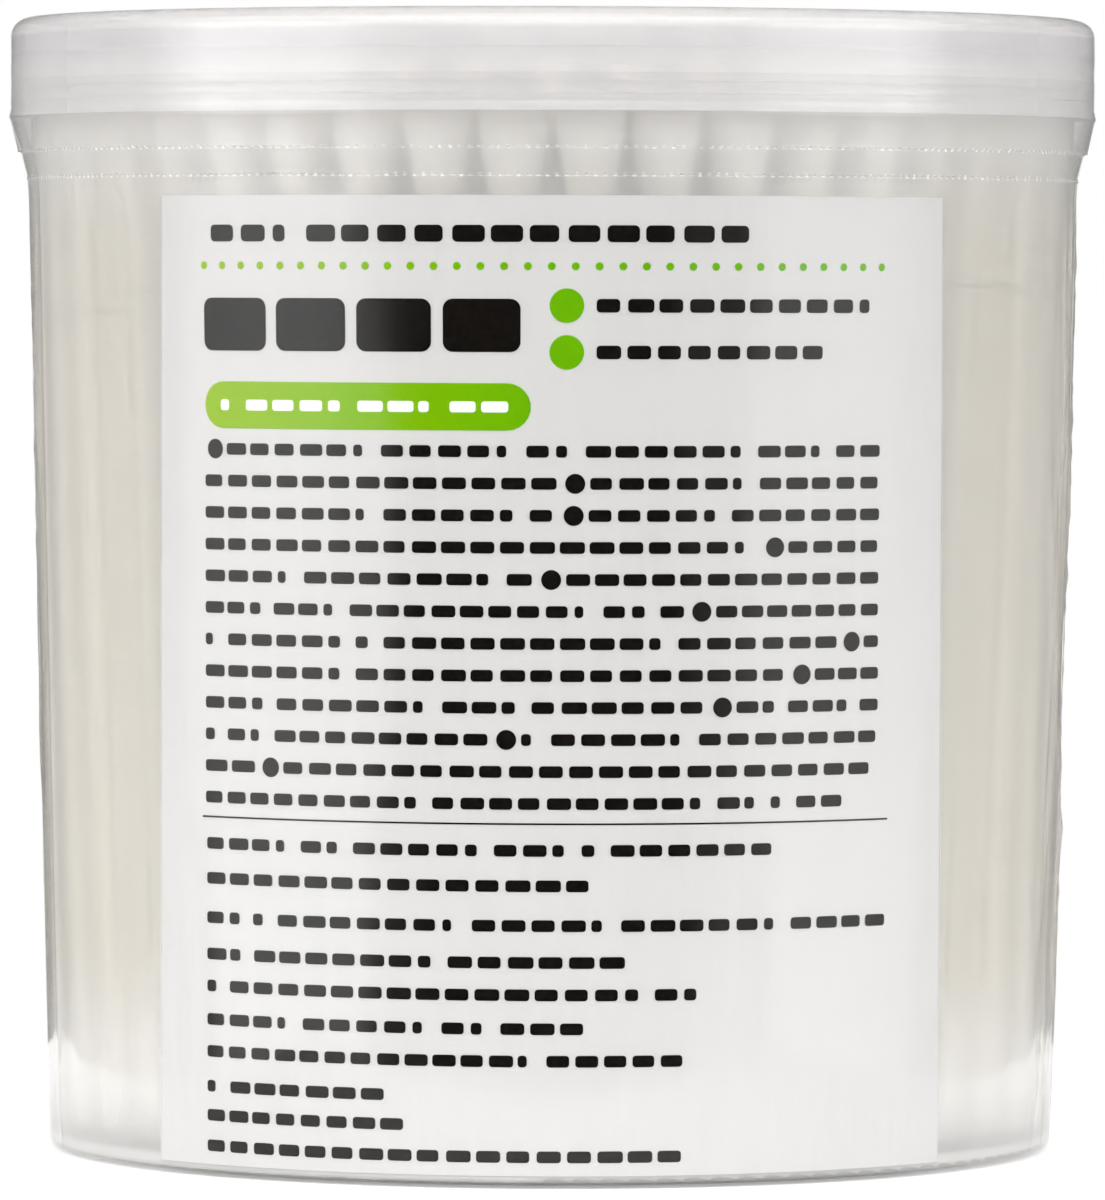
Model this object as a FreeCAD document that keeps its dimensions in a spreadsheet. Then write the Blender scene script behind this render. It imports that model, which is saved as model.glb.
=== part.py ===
import FreeCAD, Part
import math
import os
import random
import types

import Sketcher

# A round tub of cotton swabs with a snap lid, sealed in shrink film.
# Millimetres, +Z up, origin on the table under the middle of the tub.
# The labelled side faces -Y.

SIZES = {
    # Tub: a drafted cup that stands on a low foot ring.
    "foot_height": 0.4,
    "foot_inset": 3.86,
    "foot_width": 1.5,
    "base_thickness": 1.5,
    "base_radius": 35.36,
    "base_corner": 0.4,
    "floor_bevel": 0.4,
    "rim_radius": 37.17,
    "tub_height": 77.4,
    "tub_wall": 0.7,
    "rim_bevel": 0.12,
    "tub_bead_drop": 1.8,
    "tub_bead_width": 1.0,
    "tub_bead_proud": 0.18,
    # Lid: a shallow cap whose rib rests on the rim.
    "lid_height": 6.9,
    "lid_plate": 0.9,
    "lid_wall": 0.75,
    "lid_clearance": 0.42,
    "lid_round": 1.2,
    "lid_rib_depth": 1.6,
    "lid_rib_width": 0.5,
    "lip_proud": 0.14,
    "lip_height": 0.6,
    "lid_bead_drop": 2.8,
    "lid_bead_width": 0.9,
    "snap_clearance": 0.08,
    # Shrink film, parted at its two rows of perforations.
    "film_thickness": 0.06,
    "film_gap": 0.04,
    "film_wall_gap": 0.14,
    "film_top_hem": 7.0,
    "film_base_hem": 2.2,
    "upper_row_drop": 6.8,
    "lower_row_drop": 8.7,
    "film_meets_wall_drop": 10.2,
    "upper_row_stand": 0.65,
    "lower_row_stand": 0.23,
    "perforation_gap": 0.1,
    # Label: a plain sheet between the tub and the film.
    "label_width": 60.2,
    "label_thickness": 0.08,
    "label_gap": 0.03,
    "label_bottom": 0.9,
    "label_top_drop": 10.1,
    # Swab: a paper stick with a bud of cotton on each end.
    "swab_length": 75.0,
    "stick_diameter": 2.4,
    "stick_cover": 1.2,
    "bud_diameter": 4.26,
    "bud_belly": 4.5,
    "bud_length": 16.0,
    "bud_nose_radius": 1.3,
    "bud_nose_height": 0.99,
    "bud_neck_wall": 0.2,
    "bud_bore_gap": 0.02,
    # How the swabs stand in the tub.
    "swab_gap": 0.04,
    "swab_floor_gap": 0.02,
    "swab_wall_gap": 0.05,
    "wall_row_pitch": 4.85,
    "fill_share": 0.765,
    "splay": 0.07,
    "pitch_scatter": 0.12,
}

STICK_NODES = 4
BUD_NODES = 25
SETTLE_ROUNDS = 3000
SETTLE_TOLERANCE = 0.004

doc = FreeCAD.newDocument("swab_tub")
sheet = doc.addObject("Spreadsheet::Sheet", "Sizes")
for row, (alias, number) in enumerate(SIZES.items(), 1):
    sheet.set(f"A{row}", alias.replace("_", " "))
    sheet.set(f"B{row}", str(number))
    sheet.setAlias(f"B{row}", alias)
doc.recompute()


class Size:
    """A length in millimetres, with the formula that gives it from the sheet's cells."""

    def __init__(self, value, formula):
        self.value = float(value)
        self.formula = formula

    def __add__(self, other):
        other = as_size(other)
        return Size(self.value + other.value, f"({self.formula} + {other.formula})")

    def __sub__(self, other):
        other = as_size(other)
        return Size(self.value - other.value, f"({self.formula} - {other.formula})")

    def __mul__(self, other):
        other = as_size(other)
        return Size(self.value * other.value, f"({self.formula} * {other.formula})")

    def __truediv__(self, other):
        other = as_size(other)
        return Size(self.value / other.value, f"({self.formula} / {other.formula})")


def as_size(item):
    return item if isinstance(item, Size) else Size(item, str(float(item)))


def sine(ratio):
    return Size(math.sin(ratio.value), f"sin({ratio.formula} * 1 rad)")


def root(square):
    return Size(math.sqrt(square.value), f"sqrt({square.formula})")


size = types.SimpleNamespace(**{alias: Size(getattr(sheet, alias), f"Sizes.{alias}") for alias in SIZES})
NOUGHT = Size(0.0, "0")


def tub_outside(height):
    """Radius of the tub's drafted outer wall at a height."""
    return size.base_radius + (size.rim_radius - size.base_radius) * (height / size.tub_height)


foot_radius = size.base_radius - size.foot_inset
floor_top = size.foot_height + size.base_thickness
lid_underside = size.tub_height + size.lid_rib_depth
lid_top = lid_underside + size.lid_plate
lid_bottom = lid_top - size.lid_height
lid_inside = size.rim_radius + size.lid_clearance
lid_outside = lid_inside + size.lid_wall
upper_row = size.tub_height - size.upper_row_drop
lower_row = size.tub_height - size.lower_row_drop


def draw_outline(body, name, corners, arcs=()):
    """Draw a closed outline on the XZ plane, with each corner tied to the sheet.

    corners are (radius, height) pairs of Size. arcs maps a segment's number, that of its first
    corner, to (arc radius, centre radius, centre height).
    """
    arcs = dict(arcs)
    sketch = body.newObject("Sketcher::SketchObject", name)
    plane = [item for item in body.Origin.OriginFeatures if item.Role == "XZ_Plane"][0]
    sketch.AttachmentSupport = [(plane, "")]
    sketch.MapMode = "FlatFace"
    points = [FreeCAD.Vector(across.value, up.value, 0) for across, up in corners]
    count = len(points)
    ends = []
    for number, start in enumerate(points):
        end = points[(number + 1) % count]
        if number not in arcs:
            sketch.addGeometry(Part.LineSegment(start, end), False)
            ends.append((1, 2))
            continue
        radius, across, up = arcs[number]
        centre = FreeCAD.Vector(across.value, up.value, 0)
        turn = (start - centre).cross(end - centre).z
        first, last = (start, end) if turn > 0 else (end, start)
        circle = Part.Circle(centre, FreeCAD.Vector(0, 0, 1), radius.value)
        angles = [math.atan2(point.y - centre.y, point.x - centre.x) for point in (first, last)]
        sketch.addGeometry(Part.ArcOfCircle(circle, angles[0], angles[1]), False)
        ends.append((1, 2) if turn > 0 else (2, 1))
    for number in range(count):
        after = (number + 1) % count
        sketch.addConstraint(
            Sketcher.Constraint("Coincident", number, ends[number][1], after, ends[after][0]))
    for number, (across, up) in enumerate(corners):
        tie_corner(sketch, number, ends[number][0], across, "DistanceX", -2)
        tie_corner(sketch, number, ends[number][0], up, "DistanceY", -1)
    for number, (radius, _, _) in arcs.items():
        tie = sketch.addConstraint(Sketcher.Constraint("Radius", number, radius.value))
        sketch.setExpression(f"Constraints[{tie}]", radius.formula)
    return sketch


def tie_corner(sketch, number, end, distance, kind, axis):
    """Tie one coordinate of a corner to its formula, or to the axis where it is nought."""
    if distance is NOUGHT:
        sketch.addConstraint(Sketcher.Constraint("PointOnObject", number, end, axis))
        return
    tie = sketch.addConstraint(Sketcher.Constraint(kind, -1, 1, number, end, distance.value))
    sketch.setExpression(f"Constraints[{tie}]", distance.formula)


def turned_body(name, corners, arcs=()):
    """A body turned about Z from an outline."""
    body = doc.addObject("PartDesign::Body", name)
    body.Label = name
    sketch = draw_outline(body, f"{name}_outline", corners, arcs)
    turned = body.newObject("PartDesign::Revolution", f"{name}_turned")
    turned.Profile = sketch
    turned.ReferenceAxis = (sketch, ["V_Axis"])
    turned.Angle = 360.0
    doc.recompute()
    return body


def round_edges(body, name, radius, rings):
    """Round the circular edges that lie at the given (radius, height) pairs."""
    base = body.Tip
    wanted = []
    for number, edge in enumerate(base.Shape.Edges, 1):
        if not isinstance(edge.Curve, Part.Circle):
            continue
        centre = edge.Curve.Center
        for across, up in rings:
            if abs(edge.Curve.Radius - across.value) < 1e-4 and abs(centre.z - up.value) < 1e-4:
                wanted.append(f"Edge{number}")
    rounded = body.newObject("PartDesign::Fillet", name)
    rounded.Base = (base, wanted)
    rounded.setExpression("Radius", radius.formula)
    doc.recompute()


def make_tub():
    bead_height = size.tub_height - size.tub_bead_drop
    bead_low = bead_height - size.tub_bead_width / 2
    bead_high = bead_height + size.tub_bead_width / 2
    rim_inside = size.rim_radius - size.tub_wall
    rim_low = size.tub_height - size.rim_bevel
    base_edge = (tub_outside(size.foot_height), size.foot_height)
    floor_bevel_top = floor_top + size.floor_bevel
    foot_inside = foot_radius - size.foot_width
    tub = turned_body("tub", [
        (NOUGHT, size.foot_height),
        (foot_inside, size.foot_height),
        (foot_inside, NOUGHT),
        (foot_radius, NOUGHT),
        (foot_radius, size.foot_height),
        base_edge,
        (tub_outside(bead_low), bead_low),
        (tub_outside(bead_height) + size.tub_bead_proud, bead_height),
        (tub_outside(bead_high), bead_high),
        (tub_outside(rim_low), rim_low),
        (size.rim_radius - size.rim_bevel, size.tub_height),
        (rim_inside + size.rim_bevel, size.tub_height),
        (tub_outside(rim_low) - size.tub_wall, rim_low),
        (tub_outside(floor_bevel_top) - size.tub_wall, floor_bevel_top),
        (tub_outside(floor_top) - size.tub_wall - size.floor_bevel, floor_top),
        (NOUGHT, floor_top),
    ])
    round_edges(tub, "tub_base_corner", size.base_corner, [base_edge])
    return tub


def make_lid():
    bead_height = size.tub_height - size.lid_bead_drop
    bead_low = bead_height - size.lid_bead_width / 2
    bead_high = bead_height + size.lid_bead_width / 2
    tub_bead = tub_outside(size.tub_height - size.tub_bead_drop) + size.tub_bead_proud
    bead_proud = lid_inside - tub_bead - size.snap_clearance
    rib_middle = size.rim_radius - size.tub_wall / 2
    rib_outside = rib_middle + size.lid_rib_width / 2
    rib_inside = rib_middle - size.lid_rib_width / 2
    corners = [
        (NOUGHT, lid_underside),
        (rib_inside, lid_underside),
        (rib_inside, size.tub_height),
        (rib_outside, size.tub_height),
        (rib_outside, lid_underside),
        (lid_inside, lid_underside),
        (lid_inside, bead_high),
        (lid_inside, bead_low),
        (lid_inside, lid_bottom),
        (lid_outside + size.lip_proud, lid_bottom),
        (lid_outside, lid_bottom + size.lip_height),
        (lid_outside, lid_top - size.lid_round),
        (lid_outside - size.lid_round, lid_top),
        (NOUGHT, lid_top),
    ]
    # The bead is a low arc whose chord lies on the skirt's inner wall.
    bead_radius = (size.lid_bead_width * size.lid_bead_width / 4 + bead_proud * bead_proud) / (bead_proud * 2)
    bead = (bead_radius, lid_inside - bead_proud + bead_radius, bead_height)
    corner = (size.lid_round, lid_outside - size.lid_round, lid_top - size.lid_round)
    return turned_body("lid", corners, {6: bead, 11: corner})


def make_film_cap():
    """Film over the lid's edge, down to the upper row of perforations."""
    thin = size.film_thickness
    skirt = lid_outside + size.film_gap
    hem = lid_outside - size.film_top_hem
    corner_at = (lid_outside - size.lid_round, lid_top - size.lid_round)
    row = upper_row + size.perforation_gap / 2
    row_radius = tub_outside(upper_row) + size.upper_row_stand
    top = lid_top + size.film_gap
    inner = size.lid_round + size.film_gap
    corners = [
        (hem, top),
        (corner_at[0], top),
        (skirt, corner_at[1]),
        (skirt, lid_bottom + size.lip_height),
        (skirt + size.lip_proud, lid_bottom),
        (row_radius, row),
        (row_radius + thin, row),
        (skirt + size.lip_proud + thin, lid_bottom),
        (skirt + thin, lid_bottom + size.lip_height),
        (skirt + thin, corner_at[1]),
        (corner_at[0], top + thin),
        (hem, top + thin),
    ]
    return turned_body("film_cap", corners, {1: (inner, *corner_at), 9: (inner + thin, *corner_at)})


def make_tear_band():
    """Film between the two rows of perforations."""
    half_gap = size.perforation_gap / 2
    upper = tub_outside(upper_row) + size.upper_row_stand
    lower = tub_outside(lower_row) + size.lower_row_stand
    corners = [
        (lower, lower_row + half_gap),
        (lower + size.film_thickness, lower_row + half_gap),
        (upper + size.film_thickness, upper_row - half_gap),
        (upper, upper_row - half_gap),
    ]
    return turned_body("tear_band", corners)


def make_film_sleeve():
    """Film from the lower row down the tub's wall, its hem turned in round the base."""
    thin = size.film_thickness
    row = lower_row - size.perforation_gap / 2
    row_radius = tub_outside(lower_row) + size.lower_row_stand
    meet = size.tub_height - size.film_meets_wall_drop
    meet_radius = tub_outside(meet) + size.film_wall_gap
    under = size.foot_height - size.film_wall_gap
    inner_edge = (tub_outside(under) + size.film_wall_gap, under)
    outer_edge = (inner_edge[0] + thin, under - thin)
    hem = size.base_radius - size.film_base_hem
    corners = [
        (row_radius, row),
        (row_radius + thin, row),
        (meet_radius + thin, meet),
        outer_edge,
        (hem, outer_edge[1]),
        (hem, under),
        inner_edge,
        (meet_radius, meet),
    ]
    sleeve = turned_body("film_sleeve", corners)
    around = size.base_corner + size.film_wall_gap
    round_edges(sleeve, "film_sleeve_inner_corner", around, [inner_edge])
    round_edges(sleeve, "film_sleeve_outer_corner", around + thin, [outer_edge])
    return sleeve


def make_label():
    """A rectangular sheet bent round the front of the tub, cut from a thin drafted ring."""
    top = size.tub_height - size.label_top_drop
    low = size.label_bottom
    outer_gap = size.label_gap + size.label_thickness
    ring = turned_body("label_ring", [
        (tub_outside(low) + size.label_gap, low),
        (tub_outside(low) + outer_gap, low),
        (tub_outside(top) + outer_gap, top),
        (tub_outside(top) + size.label_gap, top),
    ])
    radius = tub_outside((low + top) / 2)
    half_width = radius * sine(size.label_width / (radius * 2))
    front = doc.addObject("Part::Box", "label_front")
    front.setExpression("Length", (half_width * 2).formula)
    front.setExpression("Width", (radius * 2).formula)
    front.setExpression("Height", size.tub_height.formula)
    front.setExpression("Placement.Base.x", (NOUGHT - half_width).formula)
    front.setExpression("Placement.Base.y", (NOUGHT - radius * 2).formula)
    label = doc.addObject("Part::Common", "label")
    label.Label = "label"
    label.Base = ring
    label.Tool = front
    doc.recompute()
    return label


def make_stick_master():
    """One paper stick, standing on its end with the swab's foot at the origin."""
    radius = size.stick_diameter / 2
    end = size.swab_length - size.stick_cover
    return turned_body("stick_master", [
        (NOUGHT, size.stick_cover),
        (radius, size.stick_cover),
        (radius, end),
        (NOUGHT, end),
    ])


def make_bud_master():
    """One bud: a round nose that widens to the belly, and a long taper to its neck on the stick."""
    radius = size.bud_diameter / 2
    nose = size.bud_nose_radius
    bore = size.stick_diameter / 2 + size.bud_bore_gap
    bore_end = size.stick_cover - size.bud_bore_gap
    below_centre = nose - size.bud_nose_height
    meet = (root(nose * nose - below_centre * below_centre), size.bud_nose_height)
    corners = [
        (NOUGHT, NOUGHT),
        meet,
        (radius, size.bud_belly),
        (bore + size.bud_neck_wall, size.bud_length),
        (bore, size.bud_length),
        (bore, bore_end),
        (NOUGHT, bore_end),
    ]
    return turned_body("bud_master", corners, {0: (nose, NOUGHT, nose)})


def close_pairs(points, reach):
    """Pairs of points that may lie within reach, found on a grid of cells."""
    cells = {}
    for number, (x, y) in enumerate(points):
        cells.setdefault((int(x // reach), int(y // reach)), []).append(number)
    pairs = []
    for (column, line), members in cells.items():
        pairs += [(a, b) for a in members for b in members if a < b]
        for step in ((1, 0), (0, 1), (1, 1), (1, -1)):
            beside = cells.get((column + step[0], line + step[1]), ())
            pairs += [(min(a, b), max(a, b)) for a in members for b in beside]
    return pairs


def settle(points, held, spacing, limit):
    """Push points apart to the spacing and inside the limit; the first held points stay."""
    points = [list(point) for point in points]
    for turn in range(SETTLE_ROUNDS):
        if turn % 10 == 0:
            pairs = close_pairs(points, spacing * 1.5)
        worst = 0.0
        for first, second in pairs:
            a, b = points[first], points[second]
            dx, dy = b[0] - a[0], b[1] - a[1]
            apart = math.hypot(dx, dy)
            if apart >= spacing or second < held:
                continue
            worst = max(worst, spacing - apart)
            push = (spacing - apart) / max(apart, 1e-6)
            give = 0.0 if first < held else 0.5
            a[0] -= dx * push * give
            a[1] -= dy * push * give
            b[0] += dx * push * (1.0 - give)
            b[1] += dy * push * (1.0 - give)
        for point in points[held:]:
            away = math.hypot(point[0], point[1])
            if away > limit:
                worst = max(worst, away - limit)
                point[0] *= limit / away
                point[1] *= limit / away
        if worst < SETTLE_TOLERANCE:
            break
    return points


def place_swabs():
    """Stand the swabs in the tub: the placement of each, found at the two belly heights."""
    bud_radius = size.bud_diameter.value / 2
    belly = size.bud_belly.value
    spacing = size.bud_diameter.value + size.swab_gap.value
    span = size.swab_length.value - 2 * belly
    low = floor_top + size.swab_floor_gap + size.bud_belly
    high = low + size.swab_length - size.bud_belly * 2
    room_low = (tub_outside(low) - size.tub_wall).value
    room_high = (tub_outside(high) - size.tub_wall).value
    low_limit = room_low - bud_radius - size.swab_wall_gap.value
    high_limit = room_high - bud_radius - size.swab_wall_gap.value
    wall_row = int(2 * math.pi * low_limit / size.wall_row_pitch.value)
    total = int(size.fill_share.value * (2 * room_low / spacing) ** 2)
    scatter = random.Random(11)
    step = 2 * math.pi / wall_row
    wobble = size.pitch_scatter.value / high_limit
    bearings = [(number + 0.5) * step + scatter.uniform(-wobble, wobble) for number in range(wall_row)]
    tops = [(high_limit * math.sin(bearing), -high_limit * math.cos(bearing)) for bearing in bearings]
    # The rest start on a sunflower spiral inside the row against the wall.
    golden = math.pi * (3 - math.sqrt(5))
    inner = total - wall_row
    reach = high_limit - 0.85 * spacing
    for number in range(inner):
        away = reach * math.sqrt((number + 0.5) / inner)
        tops.append((away * math.cos(number * golden), away * math.sin(number * golden)))
    tops = settle(tops, wall_row, spacing * high_limit / low_limit, high_limit)
    # The feet keep the order of the tops, drawn in and gathered towards the front.
    feet = []
    for x, y in tops:
        away = math.hypot(x, y)
        bearing = math.atan2(x, -y)
        bearing -= size.splay.value * math.sin(bearing) * away / high_limit
        away *= low_limit / high_limit
        feet.append((away * math.sin(bearing), -away * math.cos(bearing)))
    feet = settle(feet, wall_row, spacing, low_limit)
    placements = []
    for top, foot in zip(tops, feet):
        lean = FreeCAD.Vector(top[0] - foot[0], top[1] - foot[1], 0)
        lean.z = math.sqrt(span ** 2 - lean.x ** 2 - lean.y ** 2)
        lean.normalize()
        start = FreeCAD.Vector(foot[0], foot[1], low.value) - lean * belly
        placements.append(FreeCAD.Placement(start, FreeCAD.Rotation(FreeCAD.Vector(0, 0, 1), lean)))
    return placements


def placed_copies(master, placements):
    """Copies of a piece as separate solids of one shape."""
    copies = []
    for placement in placements:
        copy = master.Shape.Solids[0].copy()
        copy.transformShape(placement.toMatrix(), True)
        copies.append(copy)
    return Part.Compound(copies)


def make_swabs():
    """The swabs in groups: their sticks, the buds on their tops and the buds on their feet."""
    placements = place_swabs()
    over = FreeCAD.Placement(
        FreeCAD.Vector(0, 0, size.swab_length.value), FreeCAD.Rotation(FreeCAD.Vector(1, 0, 0), 180))
    stick = make_stick_master()
    bud = make_bud_master()
    kinds = (
        ("sticks", stick, placements, STICK_NODES),
        ("top_buds", bud, [placement * over for placement in placements], BUD_NODES),
        ("foot_buds", bud, placements, BUD_NODES),
    )
    nodes = []
    for kind, master, places, groups in kinds:
        for group in range(groups):
            name = f"{kind}_{group + 1:02d}"
            node = doc.addObject("Part::Feature", name)
            node.Label = name
            node.Shape = placed_copies(master, places[group::groups])
            node.Placement = FreeCAD.Placement()
            nodes.append(node)
    return nodes


nodes = [make_tub(), make_lid(), make_film_cap(), make_tear_band(), make_film_sleeve(), make_label()]
nodes += make_swabs()
doc.recompute()

for item in doc.Objects:
    if "Invalid" in item.State or "Error" in item.State:
        raise RuntimeError(f"{item.Label} did not build: {item.State}")
for node in nodes:
    if node.Shape.isNull() or not node.Shape.isValid() or not node.Shape.Solids:
        raise RuntimeError(f"{node.Label} has no sound shape")

os.makedirs("parts", exist_ok=True)
for node in nodes:
    node.Shape.exportStep(f"parts/{node.Label}.step")
    print(f"{node.Label}: {len(node.Shape.Solids)} solids, {node.Shape.Volume:.1f} mm3")
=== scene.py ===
import math
import random

import bpy
import numpy as np
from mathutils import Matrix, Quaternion, Vector


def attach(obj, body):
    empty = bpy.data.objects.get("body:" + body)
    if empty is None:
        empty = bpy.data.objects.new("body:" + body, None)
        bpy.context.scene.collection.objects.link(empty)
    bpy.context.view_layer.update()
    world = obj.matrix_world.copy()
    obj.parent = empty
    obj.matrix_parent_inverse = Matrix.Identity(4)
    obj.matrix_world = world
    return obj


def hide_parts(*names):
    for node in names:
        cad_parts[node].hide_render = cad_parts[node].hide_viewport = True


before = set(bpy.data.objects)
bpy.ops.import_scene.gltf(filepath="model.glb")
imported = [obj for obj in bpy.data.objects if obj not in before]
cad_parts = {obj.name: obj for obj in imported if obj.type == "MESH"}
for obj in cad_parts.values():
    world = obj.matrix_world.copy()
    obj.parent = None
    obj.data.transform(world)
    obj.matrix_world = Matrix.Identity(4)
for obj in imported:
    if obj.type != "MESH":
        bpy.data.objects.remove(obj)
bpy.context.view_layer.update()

MM = 0.001

# Sizes in millimetres, as in the CAD source.
BASE_RADIUS = 35.36
RIM_RADIUS = 37.17
TUB_HEIGHT = 77.4
TUB_WALL = 0.7
LID_OUTSIDE = 38.34
LID_TOP = 79.9
LID_BOTTOM = 73.0
LID_ROUND = 1.2
LIP_PROUD = 0.14
LIP_HEIGHT = 0.6
FILM_THICKNESS = 0.06
FILM_GAP = 0.04
FILM_WALL_GAP = 0.14
FILM_TOP_HEM = 7.0
FILM_BASE_HEM = 2.2
FILM_BASE_ROUND = 0.54
FOOT_HEIGHT = 0.4
UPPER_ROW = 70.6
LOWER_ROW = 68.7
UPPER_STAND = 0.65
LOWER_STAND = 0.23
FILM_MEETS_WALL = 67.2
LABEL_OUTER_GAP = 0.11
SWAB_LENGTH = 75.0
STICK_COVER = 1.2
STICK_RADIUS = 1.2

# The cotton thins out towards the bud's inner end, where this attribute reaches 1.
TAIL = "tail"
STICK_COLOUR = (0.95, 0.89, 0.70)


def tub_radius(z):
    """Outer radius of the drafted tub at a height, in millimetres."""
    return BASE_RADIUS + (RIM_RADIUS - BASE_RADIUS) * z / TUB_HEIGHT


# Materials

PLASTIC_IOR = 1.49
FILM_IOR = 2.2


def new_material(name):
    material = bpy.data.materials.new(name)
    material.use_nodes = True
    tree = material.node_tree
    shader = tree.nodes["Principled BSDF"]
    return material, tree, shader


def add_node(tree, kind, **settings):
    node = tree.nodes.new(kind)
    for key, value in settings.items():
        if key in node.inputs:
            node.inputs[key].default_value = value
        else:
            setattr(node, key, value)
    return node


def object_coords(tree, stretch=(1, 1, 1)):
    """Object coordinates in millimetres, stretched."""
    coords = add_node(tree, "ShaderNodeTexCoord")
    mapping = add_node(tree, "ShaderNodeMapping")
    mapping.inputs["Scale"].default_value = [part / MM for part in stretch]
    tree.links.new(coords.outputs["Object"], mapping.inputs["Vector"])
    return mapping.outputs["Vector"]


def noise(tree, vector, scale, detail=3.0, roughness=0.5):
    node = add_node(tree, "ShaderNodeTexNoise", Scale=scale, Detail=detail, Roughness=roughness)
    tree.links.new(vector, node.inputs["Vector"])
    return node.outputs["Fac"]


def ramp(tree, factor, low, high, start=0.3, end=0.7):
    """Mix two colours by a factor."""
    node = add_node(tree, "ShaderNodeValToRGB")
    node.color_ramp.elements[0].position = start
    node.color_ramp.elements[0].color = (*low, 1)
    node.color_ramp.elements[1].position = end
    node.color_ramp.elements[1].color = (*high, 1)
    tree.links.new(factor, node.inputs["Fac"])
    return node.outputs["Color"]


def spread(tree, factor, low, high):
    node = add_node(tree, "ShaderNodeMapRange")
    node.inputs["To Min"].default_value = low
    node.inputs["To Max"].default_value = high
    tree.links.new(factor, node.inputs["Value"])
    return node.outputs["Result"]


def bump(tree, shader, height, strength, depth_mm):
    node = add_node(tree, "ShaderNodeBump", Strength=strength, Distance=depth_mm * MM)
    tree.links.new(height, node.inputs["Height"])
    tree.links.new(node.outputs["Normal"], shader.inputs["Normal"])


def rim_share(tree, face_on, start, edge):
    """A share that rises towards the limb, as the length of wall that a line of sight crosses does."""
    layer = add_node(tree, "ShaderNodeLayerWeight", Blend=0.5)
    rise = add_node(tree, "ShaderNodeMapRange", interpolation_type="SMOOTHSTEP")
    rise.inputs["From Min"].default_value = start
    rise.inputs["To Min"].default_value = face_on
    rise.inputs["To Max"].default_value = edge
    tree.links.new(layer.outputs["Facing"], rise.inputs["Value"])
    return rise.outputs["Result"]


def thick_share(tree, low, high):
    """A share that falls from one to nothing between two heights, above the thick base."""
    split = add_node(tree, "ShaderNodeSeparateXYZ")
    tree.links.new(object_coords(tree), split.inputs[0])
    fall = add_node(tree, "ShaderNodeMapRange", interpolation_type="SMOOTHSTEP")
    fall.inputs["From Min"].default_value = low
    fall.inputs["From Max"].default_value = high
    fall.inputs["To Min"].default_value = 1
    fall.inputs["To Max"].default_value = 0
    tree.links.new(split.outputs["Z"], fall.inputs["Value"])
    return fall.outputs["Result"]


def plastic(name, low, high, clear, cover, rough, stretch=(1, 1, 1), thick=None):
    """Natural polypropylene: milky, with faint flow marks between two shades.

    clear is its transmission and cover how much of what is behind it is hidden, seen face on.
    thick gives the two heights between which a milkier base ends.
    """
    material, tree, shader = new_material(name)
    flow = noise(tree, object_coords(tree, stretch), 0.22, 1.0, 0.6)
    grain = noise(tree, object_coords(tree), 0.9, 0.0)
    tree.links.new(ramp(tree, flow, low, high), shader.inputs["Base Color"])
    tree.links.new(spread(tree, flow, *rough), shader.inputs["Roughness"])
    shader.inputs["Transmission Weight"].default_value = clear
    shader.inputs["IOR"].default_value = PLASTIC_IOR
    share = rim_share(tree, cover, 0.45, 0.85)
    if thick:
        milk = thick_share(tree, *thick)
        both = add_node(tree, "ShaderNodeMath", operation="MAXIMUM")
        tree.links.new(share, both.inputs[0])
        tree.links.new(spread(tree, milk, 0.0, 0.75), both.inputs[1])
        share = both.outputs["Value"]
        tree.links.new(spread(tree, milk, clear, 0.3), shader.inputs["Transmission Weight"])
    tree.links.new(share, shader.inputs["Alpha"])
    bump(tree, shader, grain, 0.06, 0.03)
    return material


def film_material():
    """Clear film. Its one glossy face stands for both, so its index is raised above a real film's."""
    material, tree, shader = new_material("shrink_film")
    ripple = noise(tree, object_coords(tree, (1, 1, 0.3)), 0.5, 1.0, 0.55)
    tree.links.new(ramp(tree, ripple, (0.95, 0.95, 0.955), (1, 1, 1)), shader.inputs["Base Color"])
    tree.links.new(spread(tree, ripple, 0.04, 0.13), shader.inputs["Roughness"])
    tree.links.new(rim_share(tree, 0.24, 0.5, 0.9), shader.inputs["Alpha"])
    shader.inputs["Transmission Weight"].default_value = 1.0
    shader.inputs["IOR"].default_value = FILM_IOR
    bump(tree, shader, ripple, 0.2, 0.05)
    return material


def film_inside_material():
    """The film's inner face, fully clear: the sheet is too thin for its gloss to show twice."""
    material = bpy.data.materials.new("shrink_film_inside")
    material.use_nodes = True
    tree = material.node_tree
    clear = add_node(tree, "ShaderNodeBsdfTransparent")
    tree.links.new(clear.outputs["BSDF"], tree.nodes["Material Output"].inputs["Surface"])
    return material


def film_cut_material():
    """Film that is stretched white where a perforation is cut."""
    material, tree, shader = new_material("shrink_film_cut")
    frost = noise(tree, object_coords(tree), 2.0, 1.0)
    tree.links.new(ramp(tree, frost, (0.93, 0.93, 0.94), (1, 1, 1)), shader.inputs["Base Color"])
    tree.links.new(spread(tree, frost, 0.3, 0.5), shader.inputs["Roughness"])
    tree.links.new(spread(tree, frost, 0.0, 0.7), shader.inputs["Alpha"])
    return material


def paper_material(name, low, high, clear=0.0):
    """Paper with streaks along Z and a fibrous face."""
    material, tree, shader = new_material(name)
    along = noise(tree, object_coords(tree, (1, 1, 0.12)), 1.6, 4.0, 0.6)
    fibres = noise(tree, object_coords(tree), 5.0, 3.0, 0.6)
    tree.links.new(ramp(tree, along, low, high), shader.inputs["Base Color"])
    tree.links.new(spread(tree, fibres, 0.6, 0.85), shader.inputs["Roughness"])
    shader.inputs["Transmission Weight"].default_value = clear
    bump(tree, shader, fibres, 0.3, 0.03)
    return material


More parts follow.
